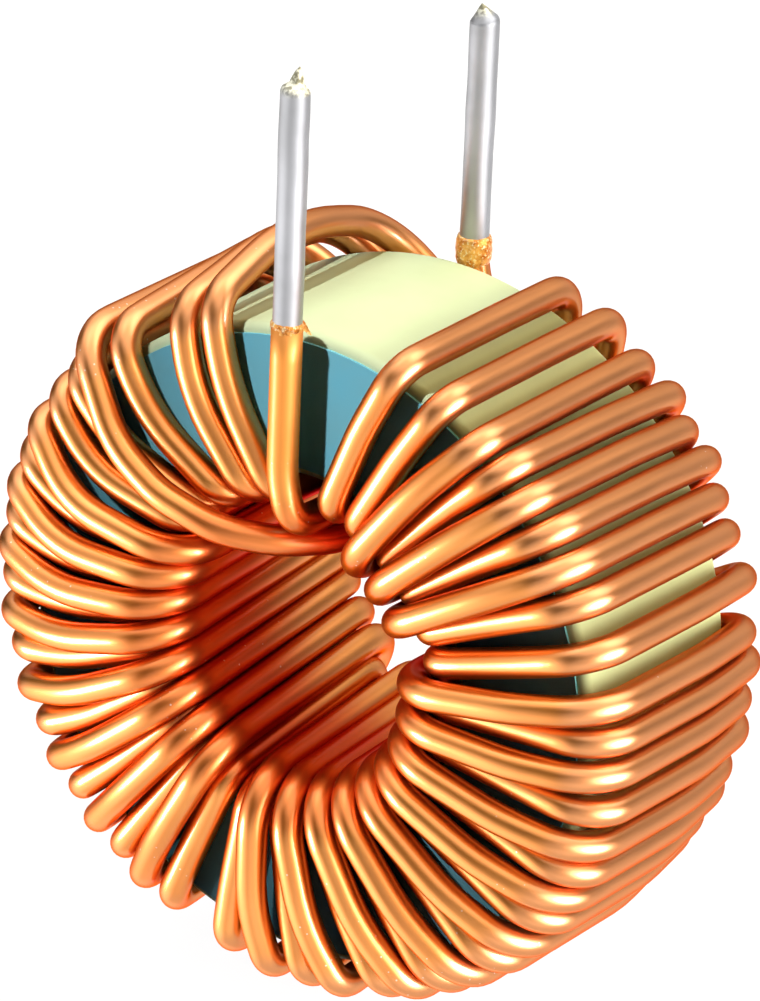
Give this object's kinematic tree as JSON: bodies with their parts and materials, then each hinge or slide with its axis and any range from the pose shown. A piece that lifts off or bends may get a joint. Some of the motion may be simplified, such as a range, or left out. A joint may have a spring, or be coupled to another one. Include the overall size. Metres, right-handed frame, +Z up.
{
  "type": "toroidal inductor",
  "caption": "Ring-shaped power inductor: a coated powder core wound with one heavy enamelled copper wire, with two straight tinned leads standing up from its rim.",
  "frame": {"origin": "under the middle of the core, at the height of the lowest turn of wire", "axes": "+Z up along both leads, -Y out of the blue front face along the core's axis, +X to the right seen from the front"},
  "size_m": [0.0297, 0.0152, 0.0396],
  "materials": {
    "core_coat": "satin epoxy coat, pale yellow-green",
    "blue_coat": "satin epoxy coat, grey-blue",
    "enamelled_copper": "glossy clear orange enamel on copper",
    "tin": "bright dipped tin",
    "burnt_enamel": "rough golden-brown crust"
  },
  "bodies": {
    "root": {"core": "core_coat", "face_coat": "blue_coat", "winding": "enamelled_copper", "front_lead_tin": "tin", "rear_lead_tin": "tin", "rear_collar": "burnt_enamel"}
  },
  "joints": []
}
